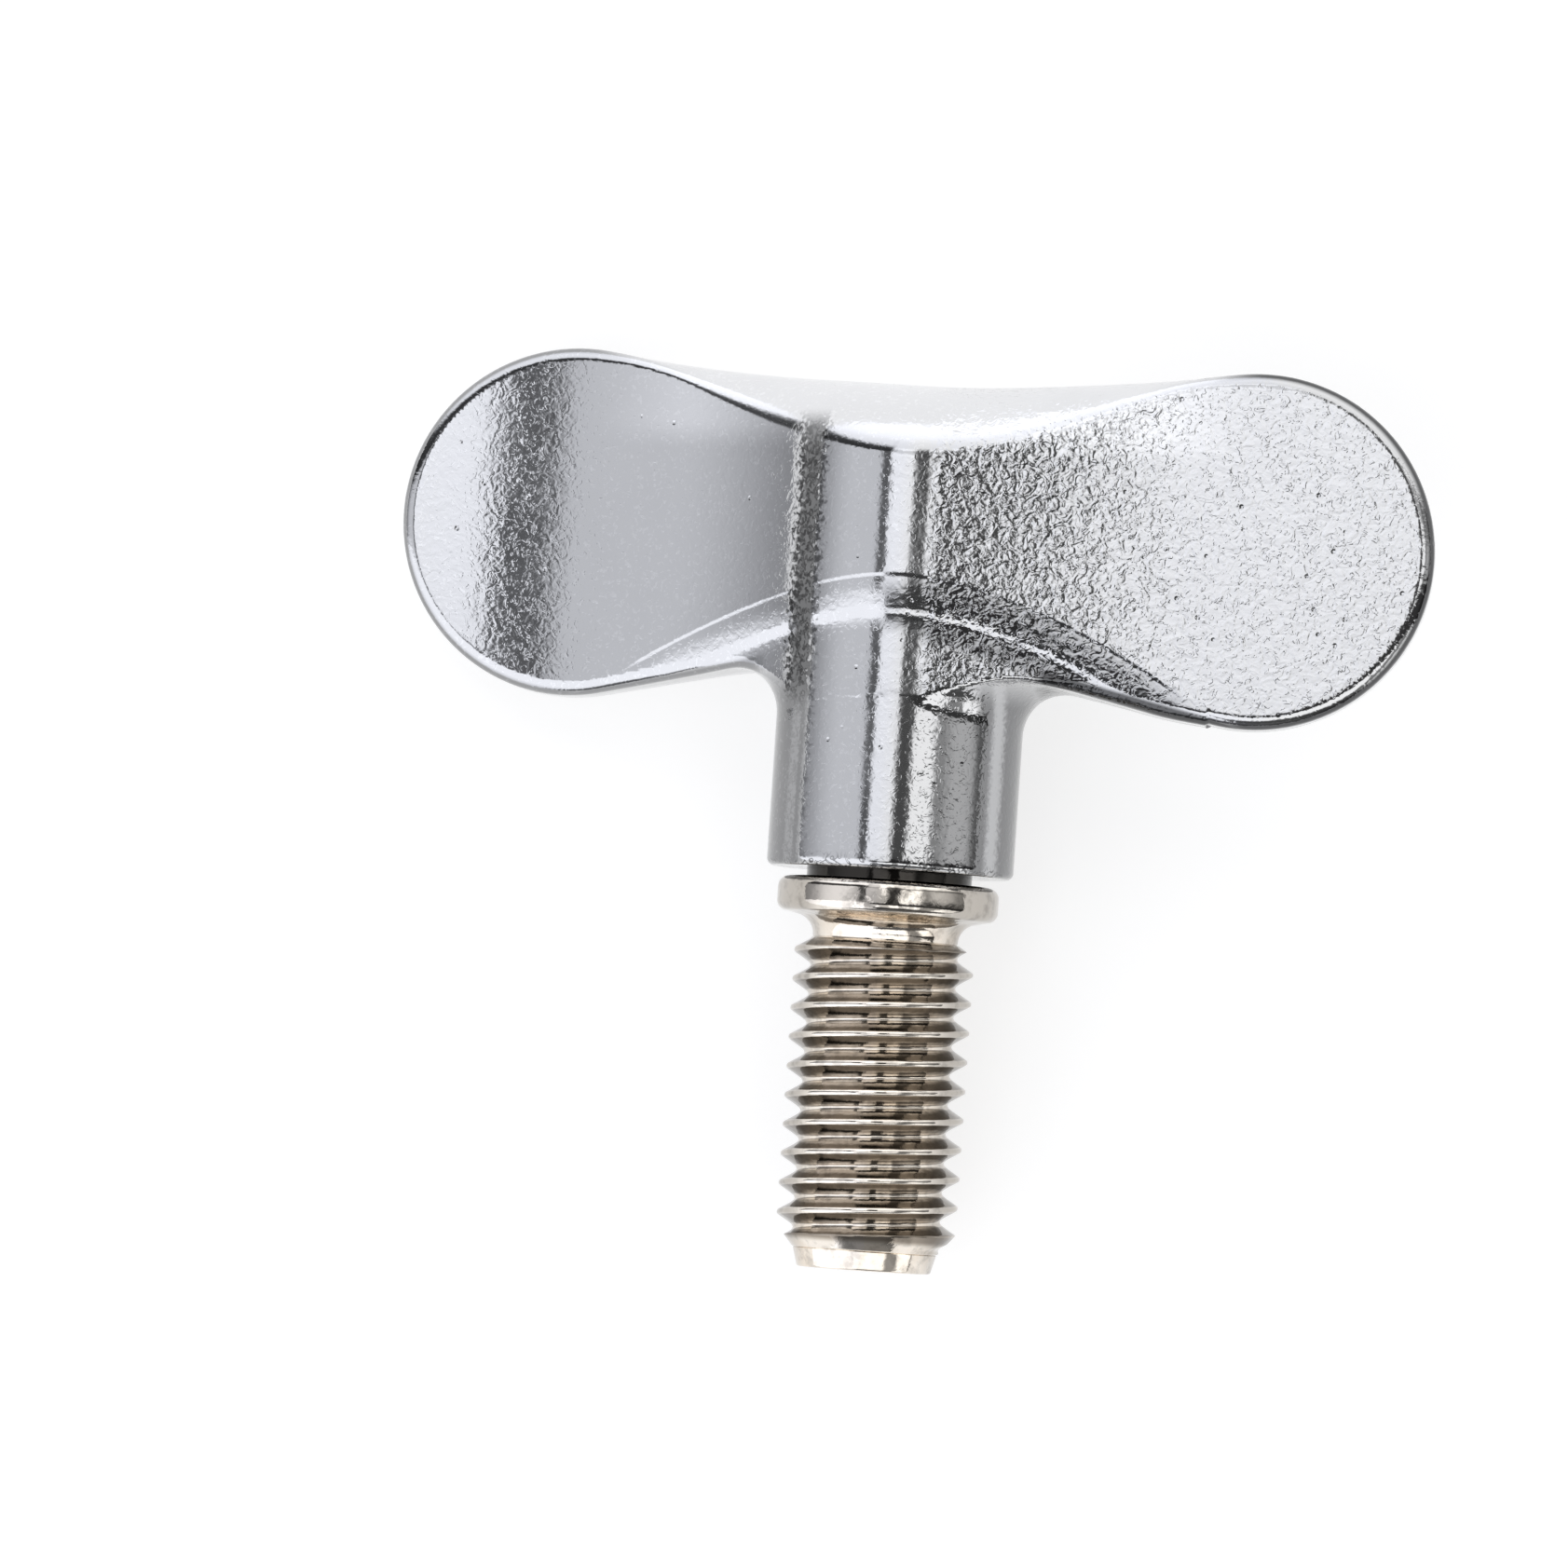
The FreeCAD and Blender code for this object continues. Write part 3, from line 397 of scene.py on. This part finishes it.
chrome_material = material("chrome_plate", chrome)
wing = skin("wing_head_cast", head, HEAD_LOW, HEAD_HIGH, CELL)
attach(wing, "root")
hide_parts("wing_head")
dress(wing, chrome_material)
dress(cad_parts["wing_head"], chrome_material)


# The stud's thread: rolled on the steel stud, right-handed, and nickel plated.
# It is a grid wrapped round the axis, with the groove cut into its radius along a helix,
# and it runs out on the tapered end.

THREAD = {"Top": -1.0, "Bottom": -14.35, "Pitch": 1.25, "Crest radius": 3.875, "Depth": 0.767,
          "Crest flat": 0.16, "Lead in": 0.5, "End radius": 3.08, "End taper": 0.95,
          "Groove height": -1.65}   # the last one is on the right side of the stud
FLANK = math.tan(math.radians(30))  # half of the thread's angle
CREST_ROUND, ROOT_ROUND = 0.05, 0.10
TURNS, ROWS = 300, 300              # faces round the stud and along it
HALF_GROOVE, WHOLE_TURNS = 0.5, 40  # the turns only keep the count above zero
OPEN_ROWS = 0.498                   # the rows between the two ends of the grid
MERGE = 2e-6                        # metres between points that become one
NICKEL_TONE, NICKEL_GREEN, NICKEL_BLUE = 0.88, 0.93, 0.84
# Brown tint of the stain in the thread's roots and of the painted shade in its flanks
SHADE_AND_STAIN_RED, SHADE_AND_STAIN_GREEN, SHADE_AND_STAIN_BLUE = 0.14, 0.20, 0.27
NICKEL_RELIEF = 6e-6                # metres for one unit of the relief
# Scale, detail, roughness and distortion of the noises
NICKEL_PEEL, CLOUDS, DIRT = (2400, 3.0, 0.6, 0.6), (420, 3.0), (1500, 3.0, 0.6)


def nickel(tree):
    """Warm nickel on steel, painted shade in the thread's flanks and on the stud's sides, a
    painted shadow in the neck's gap, stained in the roots and smudged on the collar.
    """
    place = tree.node("ShaderNodeTexCoord", "Object")
    x, y, z = millimetres(tree, place)
    radius = (x * x + z * z) ** 0.5
    peel, clouds = noise(tree, place, *NICKEL_PEEL), noise(tree, place, *CLOUDS)
    dirt = noise(tree, place, *DIRT)
    normal = tree.node("ShaderNodeBump", "Normal", Strength=1.0, Distance=NICKEL_RELIEF,
                       Height=peel + 9 * clouds)
    # Painted shade in the thread's flanks, and a brown stain in patches in its roots
    shaded_flank = radius.band(3.24, 3.78, 0.08) * y.band(-13.9, -1.15, 0.3)
    stain_and_shade = shaded_flank.high((1 - radius.step(3.2, 3.75)) * clouds.step(0.35, 0.7) * 0.6)
    # Painted shadow on the neck in the gap between the hub and the collar
    gap = y.step(1.40, 1.55)
    # The dirt noise is real dirt; the stud's left and right sides are darkened as painted shade
    bright = (NICKEL_TONE - 0.25 * dirt.step(0.45, 0.7)) * (1 - 0.45 * abs(x).step(2.2, 3.3))
    bright = bright * (1 - 0.60 * shaded_flank) * (1 - 0.95 * gap)
    smudge = x.band(-1.1, 1.6, 1.2) * y.band(0.15, 1.2, 0.3) * peel.step(0.40, 0.56)
    bright = bright * (1 - 0.6 * smudge)
    warm = colour(tree, bright * (1 - SHADE_AND_STAIN_RED * stain_and_shade),
                  bright * NICKEL_GREEN * (1 - SHADE_AND_STAIN_GREEN * stain_and_shade),
                  bright * NICKEL_BLUE * (1 - SHADE_AND_STAIN_BLUE * stain_and_shade))
    return {"Base_Color": warm, "Metallic": 1.0, "Roughness": 0.03 + 0.05 * clouds,
            "Normal": normal}


def thread_tree(finish):
    group = bpy.data.node_groups.new("thread", "GeometryNodeTree")
    group.interface.new_socket("Geometry", in_out="OUTPUT", socket_type="NodeSocketGeometry")
    for name in THREAD:
        group.interface.new_socket(name, in_out="INPUT", socket_type="NodeSocketFloat")
    given = group.nodes.new("NodeGroupInput")
    top, bottom, pitch, crest, depth, crest_flat, lead_in, end, taper, groove = [
        Socket(group, given.outputs[name]) for name in THREAD]
    tree = Tree(group)
    grid = tree.node("GeometryNodeMeshGrid", "Mesh", Size_X=1.0, Size_Y=1.0,
                     Vertices_X=TURNS + 1, Vertices_Y=ROWS + 1)
    place = tree.node("GeometryNodeInputPosition")
    across = tree.node("ShaderNodeSeparateXYZ", "X", Vector=place)
    along = tree.outputs(across, "Y")[0]
    angle = (across + 0.5) * (2 * math.pi)
    y = bottom + (along + 0.5) * (top - bottom)
    turn = (y - groove) / pitch - (angle - math.pi / 2) / (2 * math.pi)
    off_middle = abs((turn + (WHOLE_TURNS + HALF_GROOVE)).fraction() - HALF_GROOVE) * pitch
    root_half = (pitch - crest_flat) / 2 - depth * FLANK
    cut = crest - depth + (off_middle - root_half).round_high(0.0, ROOT_ROUND) / FLANK
    run_out = end + (y - bottom) * ((crest - end) / taper)
    lead = crest - depth + (top - y) * (depth / lead_in)
    radius = cut.round_low(crest, CREST_ROUND).low(run_out).low(lead)
    # The first and last rows shrink to a point and close the tube
    radius = radius * abs(along).less(OPEN_ROWS) * MM
    spot = tree.node("ShaderNodeCombineXYZ", X=radius * angle.sine(), Y=y * MM,
                     Z=radius * angle.cosine())
    bent = tree.node("GeometryNodeSetPosition", Geometry=grid, Position=spot)
    joined = tree.node("GeometryNodeMergeByDistance", Geometry=bent, Distance=MERGE)
    smooth = tree.node("GeometryNodeSetShadeSmooth", Geometry=joined)
    real = tree.node("GeometryNodeRealizeInstances", Geometry=smooth)
    plated = tree.node("GeometryNodeSetMaterial", Geometry=real, Material=finish)
    output = group.nodes.new("NodeGroupOutput")
    group.links.new(plated.socket, output.inputs[0])
    return group


def grown(name, group, sizes):
    """Plain mesh object of what a Geometry Nodes tree makes with these sizes."""
    source = bpy.data.objects.new(name + "_source", bpy.data.meshes.new(name + "_source"))
    scene.collection.objects.link(source)
    grow = source.modifiers.new("grow", "NODES")
    grow.node_group = group
    for item in group.interface.items_tree:
        if item.in_out == "INPUT":
            grow[item.identifier] = sizes[item.name]
    bpy.context.view_layer.update()
    graph = bpy.context.evaluated_depsgraph_get()
    mesh = bpy.data.meshes.new_from_object(source.evaluated_get(graph), depsgraph=graph)
    bpy.data.objects.remove(source)
    piece = bpy.data.objects.new(name, mesh)
    scene.collection.objects.link(piece)
    return piece


nickel_material = material("nickel_plate", nickel)
thread = grown("stud_thread", thread_tree(nickel_material), THREAD)
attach(thread, "root")
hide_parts("threaded_stud")
dress(thread, nickel_material)
dress(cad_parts["threaded_stud"], nickel_material)


# The stud's turned stretches: the flat end below the thread, and the collar with the plain
# neck on both sides of it. They are steel, turned on a lathe and nickel plated.

SEGMENTS = 192                      # faces round the axis
SHARP = math.radians(30)            # steeper edges stay sharp
END_FACE, END_ROUND, END_CENTRE = (2.0, -15.15), 0.12, (2.78, -15.03)
END_CONE = [(3.08, -14.35), (2.9, -14.2), (2.9, -14.0)]     # its top lies inside the thread
NECK_START, NECK_FILLET, FILLET_CENTRE = (3.0, -1.3), 0.85, (3.97, -0.95)
COLLAR_ROUND, COLLAR_CENTRES = 0.45, ((4.3, 0.45), (4.3, 1.05))
NECK_ABOVE = [(3.55, 1.5), (3.55, 2.6)]             # it ends inside the head


def lathe(profile):
    """Vertices and faces of a profile of (radius, y) pairs turned about the Y axis."""
    angles = [2 * math.pi * step / SEGMENTS for step in range(SEGMENTS)]
    points, faces = [], []
    for radius, y in profile:
        points += [(radius * math.sin(angle) * MM, y * MM, radius * math.cos(angle) * MM)
                   for angle in angles]
    for row in range(len(profile) - 1):
        for step in range(SEGMENTS):
            following = (step + 1) % SEGMENTS
            faces.append((row * SEGMENTS + step, row * SEGMENTS + following,
                          (row + 1) * SEGMENTS + following, (row + 1) * SEGMENTS + step))
    faces.append(tuple(range(SEGMENTS))[::-1])
    faces.append(tuple((len(profile) - 1) * SEGMENTS + step for step in range(SEGMENTS)))
    return points, faces


def rounding(centre, radius, start, end, steps=8):
    """Points of an arc, angles in degrees from the radial direction."""
    angles = [math.radians(start + (end - start) * step / steps) for step in range(steps + 1)]
    return [(centre[0] + radius * math.cos(angle), centre[1] + radius * math.sin(angle))
            for angle in angles]


def turned(name, profile):
    points, faces = lathe(profile)
    mesh = bpy.data.meshes.new(name)
    mesh.from_pydata(points, [], faces)
    mesh.update()
    mesh.shade_smooth()
    mesh.set_sharp_from_angle(angle=SHARP)
    piece = bpy.data.objects.new(name, mesh)
    scene.collection.objects.link(piece)
    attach(piece, "root")
    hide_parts("threaded_stud")
    dress(piece, nickel_material)


turned("stud_end", [END_FACE] + rounding(END_CENTRE, END_ROUND, -90, 0, 5) + END_CONE)
turned("stud_collar", [NECK_START] + rounding(FILLET_CENTRE, NECK_FILLET, 180, 95, 9)
       + rounding(COLLAR_CENTRES[0], COLLAR_ROUND, -90, 0)
       + rounding(COLLAR_CENTRES[1], COLLAR_ROUND, 0, 90) + NECK_ABOVE)


# Floor: a sheet of pale paper that the screw lies on. It is white to the camera and in
# reflections, and it keeps the screw's shadow.

FLOOR_HALF, FLOOR_Z = 0.6, -wide * MM               # the head rests on its back
PAPER, PAPER_GLOW, PAPER_GRAIN = 0.42, 0.70, 0.01

floor_mesh = bpy.data.meshes.new("floor")
corners = ((-1, -1), (1, -1), (1, 1), (-1, 1))
floor_mesh.from_pydata([(x * FLOOR_HALF, y * FLOOR_HALF, FLOOR_Z) for x, y in corners], [],
                       [(0, 1, 2, 3)])
floor = bpy.data.objects.new("floor", floor_mesh)
scene.collection.objects.link(floor)


def floor_paint(tree):
    place = tree.node("ShaderNodeTexCoord", "Object")
    grain = noise(tree, place, 30, 2.0)
    ray = tree.node("ShaderNodeLightPath", "Is Camera Ray")
    glossy, through = tree.outputs(ray, "Is Glossy Ray", "Is Transmission Ray")
    seen = ray.high(glossy).high(through)
    glow = (PAPER_GLOW + PAPER_GRAIN * grain) * seen
    return {"Base_Color": (PAPER, PAPER, PAPER, 1), "Roughness": 1.0,
            "Emission_Color": colour(tree, glow, glow, glow), "Emission_Strength": 1.0,
            "Specular_IOR_Level": 0.0}


floor.data.materials.append(material("floor_paper", floor_paint))


# Studio: white panels and dark gaps between them, as the metal reflects them.
# Turn is the angle about the screw axis, from straight up to the right, and rise the angle
# towards the head's top, both in degrees.

WHITE_PANEL = 1.5
# From the left horizon to the right one, where each tone begins, where it is full, and the
# tone: a gap, a bright strip, the dark of the camera, a second bright strip and a dim panel
PANELS = ((-29, -23.5, 0.15), (-20, -16.5, 1.36), (0.4, 6.8, 0.10), (15, 19, 1.40),
          (36, 43, 0.34))
COOL_RED, COOL_BLUE = -0.015, 0.055

world = bpy.data.worlds.new("studio")
scene.world = world
world.use_nodes = True
tree = Tree(world.node_tree)
direction = tree.node("ShaderNodeTexCoord", "Generated")
dx = tree.node("ShaderNodeSeparateXYZ", "X", Vector=direction)
dy, dz = tree.outputs(dx, "Y", "Z")
turn = dx.angle(dz) * (180 / math.pi)
rise = dy.angle((dx * dx + dz * dz) ** 0.5) * (180 / math.pi)


def paint(value, mask, tone):
    return value * (1 - mask) + mask * tone


light = 0.32 + 0.54 * turn.step(-102, -50)
for start, end, tone in PANELS:
    light = paint(light, turn.step(start, end), tone)
light = light + 0.30 * turn.step(43, 62) - 0.36 * turn.step(70, 95)
right_side = turn.step(-20, -12)
left_side = 1 - right_side
near_strip = right_side * (1 - turn.step(-1, 5))
light = light * (1 + near_strip * (0.55 * rise.step(-9, 14) - 0.30))
# Towards the head's top: dark, then white
light = paint(light, rise.step(10, 15) * left_side, 0.05)
light = paint(light, rise.step(26, 36) * left_side, 1.2)
light = paint(light, rise.band(10, 21, 5) * right_side * (0.7 - 0.3 * near_strip), 0.15)
light = paint(light, rise.step(20, 32) * right_side, 1.25)
light = paint(light, rise.step(20, 85), WHITE_PANEL)
# Towards the stud: dark on the right, then a bright panel and a dark horizon
light = paint(light, (1 - (rise + 3 * near_strip).step(-4.5, 0.5)) * right_side, 0.05)
light = paint(light, (1 - rise.step(-7.5, -1.5)) * left_side, WHITE_PANEL)
low_panel = right_side * (1 - 0.8 * turn.band(42, 64, 8)) * (1 - turn.step(84, 92))
light = paint(light, (1 - rise.step(-20, -16)) * low_panel, WHITE_PANEL)
light = paint(light, (1 - rise.step(-50, -40)) * right_side, 0.10)
light = paint(light, 1 - rise.step(-72, -62), 0.22)
cool = 1 - turn.step(-12, 8)
shade = colour(tree, light * (1 + COOL_RED * cool), light, light * (1 + COOL_BLUE * cool))
backdrop = world.node_tree.nodes["Background"]
world.node_tree.links.new(shade.socket, backdrop.inputs["Color"])
backdrop.inputs["Strength"].default_value = 1.0


# Camera: above the screw, a little to its right, with the photograph's slight roll.
# It looks at a point beside the middle of the screw.

CAMERA = Vector((31.62, -9.86, 378.25)) * MM
TARGET = Vector((-4.80, 5.41, 0.0)) * MM
ROLL = 0.0675
LENS = 203.4

back = (CAMERA - TARGET).normalized()
right = Vector((0, 1, 0)).cross(back).normalized()
up = back.cross(right)
rolled_right = right * math.cos(ROLL) + up * math.sin(ROLL)
rolled_up = up * math.cos(ROLL) - right * math.sin(ROLL)
camera_data = bpy.data.cameras.new("camera")
camera_data.lens = LENS
camera_data.clip_start = 0.01
camera = bpy.data.objects.new("camera", camera_data)
scene.collection.objects.link(camera)
camera.matrix_world = Matrix.Translation(CAMERA) @ Matrix(
    (rolled_right, rolled_up, back)).transposed().to_4x4()
scene.camera = camera
